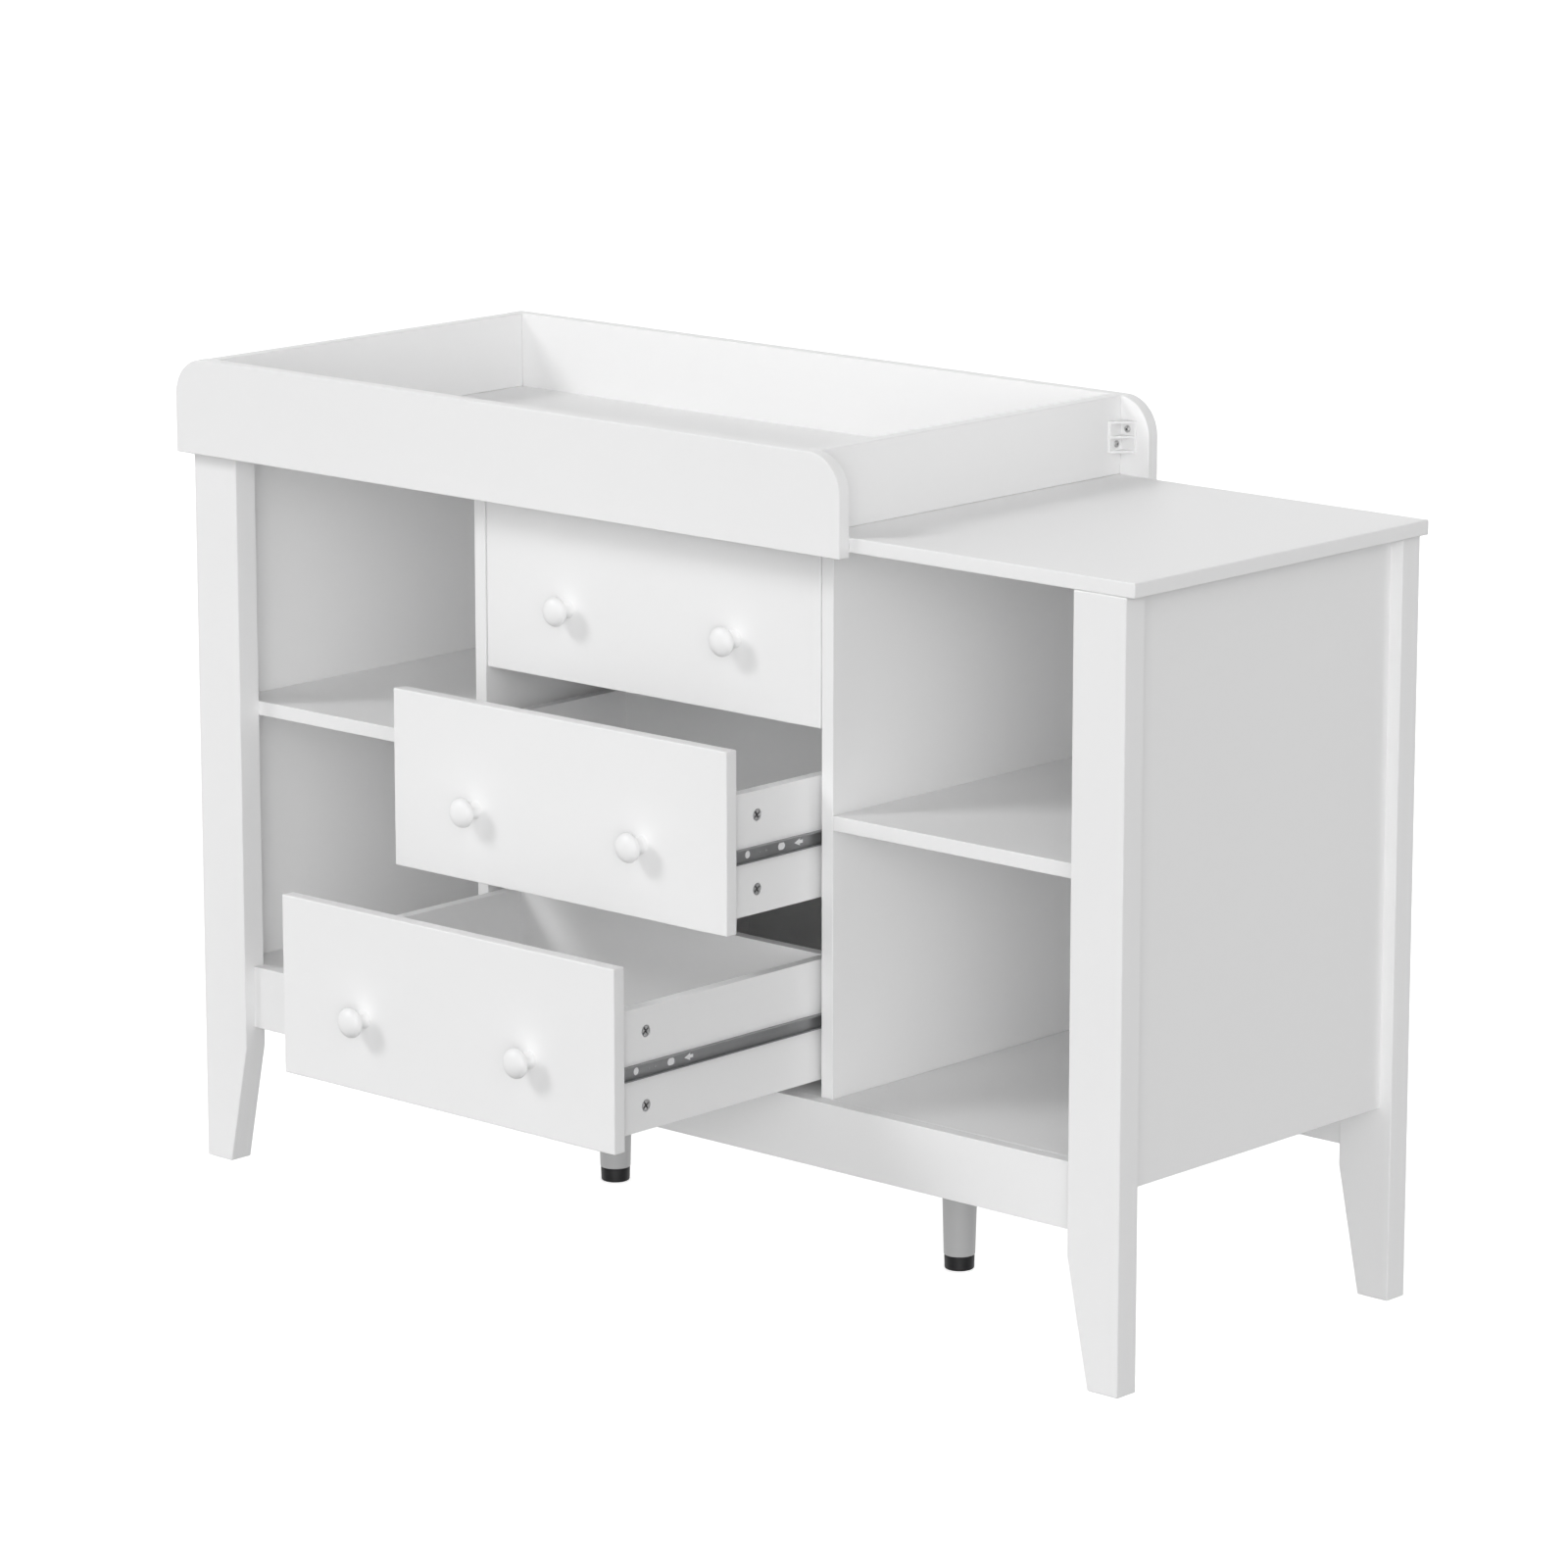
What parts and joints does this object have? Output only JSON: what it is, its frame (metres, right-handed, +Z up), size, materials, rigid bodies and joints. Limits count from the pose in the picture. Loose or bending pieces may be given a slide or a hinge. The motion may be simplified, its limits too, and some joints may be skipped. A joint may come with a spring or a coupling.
{
  "type": "changing table",
  "caption": "Nursery changing table: a low cabinet with open shelves at both ends, a stack of drawers in the middle and a lift-off changing tray on top.",
  "frame": {"origin": "on the floor, under the middle of the whole object's box at rest", "axes": "+X to the right as the user faces the drawers, +Y away from the user, +Z up"},
  "size_m": [1.28, 0.7542, 0.8655],
  "materials": {
    "painted_board": "white satin paint on fibreboard",
    "painted_knob": "white satin paint on turned wood",
    "painted_sheet": "white coated hardboard",
    "painted_leg": "white satin paint on turned wood",
    "foot_rubber": "black moulded rubber",
    "beech_dowel": "bare fluted beech",
    "cam_zinc": "dull dark zinc",
    "slide_steel": "bright zinc-plated sheet steel",
    "cage_steel": "plated strip and polished balls",
    "white_plastic": "white moulded plastic",
    "zinc_steel": "zinc-plated screw steel"
  },
  "bodies": {
    "cabinet": {"back_panel": "painted_sheet", "back_rail": "painted_board", "bottom_board": "painted_board", "case_dowels": "beech_dowel", "case_screws": "zinc_steel", "centre_leg_bolts": "zinc_steel", "centre_leg_caps": "foot_rubber", "centre_leg_left": "painted_leg", "centre_leg_right": "painted_leg", "channel_screws": "zinc_steel", "front_rail": "painted_board", "leg_back_left": "painted_board", "leg_back_right": "painted_board", "leg_front_left": "painted_board", "leg_front_right": "painted_board", "partition_left": "painted_board", "partition_right": "painted_board", "shelf_left": "painted_board", "shelf_right": "painted_board", "side_panel_left": "painted_board", "side_panel_right": "painted_board", "slide_channels_left": "slide_steel", "slide_channels_right": "slide_steel", "top_board": "painted_board"},
    "top_drawer": {"top_drawer_front": "painted_board", "top_drawer_side_left": "painted_board", "top_drawer_side_right": "painted_board", "top_drawer_back": "painted_board", "top_drawer_bottom": "painted_sheet", "top_drawer_knobs": "painted_knob", "top_drawer_screws": "zinc_steel", "top_drawer_cams": "cam_zinc", "top_drawer_rails": "slide_steel"},
    "top_cages": {"top_ball_cages": "cage_steel"},
    "middle_drawer": {"middle_drawer_front": "painted_board", "middle_drawer_side_left": "painted_board", "middle_drawer_side_right": "painted_board", "middle_drawer_back": "painted_board", "middle_drawer_bottom": "painted_sheet", "middle_drawer_knobs": "painted_knob", "middle_drawer_screws": "zinc_steel", "middle_drawer_cams": "cam_zinc", "middle_drawer_rails": "slide_steel"},
    "middle_cages": {"middle_ball_cages": "cage_steel"},
    "bottom_drawer": {"bottom_drawer_front": "painted_board", "bottom_drawer_side_left": "painted_board", "bottom_drawer_side_right": "painted_board", "bottom_drawer_back": "painted_board", "bottom_drawer_bottom": "painted_sheet", "bottom_drawer_knobs": "painted_knob", "bottom_drawer_screws": "zinc_steel", "bottom_drawer_cams": "cam_zinc", "bottom_drawer_rails": "slide_steel"},
    "bottom_cages": {"bottom_ball_cages": "cage_steel"},
    "tray": {"tray_back": "painted_board", "tray_corner_blocks": "white_plastic", "tray_end_left": "painted_board", "tray_end_right": "painted_board", "tray_front": "painted_board", "tray_screws": "zinc_steel"}
  },
  "joints": [
    {"name": "top_drawer_slide", "type": "slide", "parent": "cabinet", "child": "top_drawer", "axis": [0, -1, 0], "range_m": [0, 0.295]},
    {"name": "top_cages_slide", "type": "slide", "parent": "cabinet", "child": "top_cages", "axis": [0, -1, 0], "range_m": [0, 0.1475]},
    {"name": "middle_drawer_slide", "type": "slide", "parent": "cabinet", "child": "middle_drawer", "axis": [0, -1, 0], "range_m": [-0.134, 0.161]},
    {"name": "middle_cages_slide", "type": "slide", "parent": "cabinet", "child": "middle_cages", "axis": [0, -1, 0], "range_m": [-0.067, 0.0805]},
    {"name": "bottom_drawer_slide", "type": "slide", "parent": "cabinet", "child": "bottom_drawer", "axis": [0, -1, 0], "range_m": [-0.291, 0.004]},
    {"name": "bottom_cages_slide", "type": "slide", "parent": "cabinet", "child": "bottom_cages", "axis": [0, -1, 0], "range_m": [-0.1455, 0.002]},
    {"name": "tray_lift", "type": "slide", "parent": "cabinet", "child": "tray", "axis": [0, 0, 1], "range_m": [0, 0.15]}
  ],
  "couplings": [
    {"joint": "top_cages_slide", "follows": "top_drawer_slide", "ratio": 0.5},
    {"joint": "middle_cages_slide", "follows": "middle_drawer_slide", "ratio": 0.5},
    {"joint": "bottom_cages_slide", "follows": "bottom_drawer_slide", "ratio": 0.5}
  ]
}
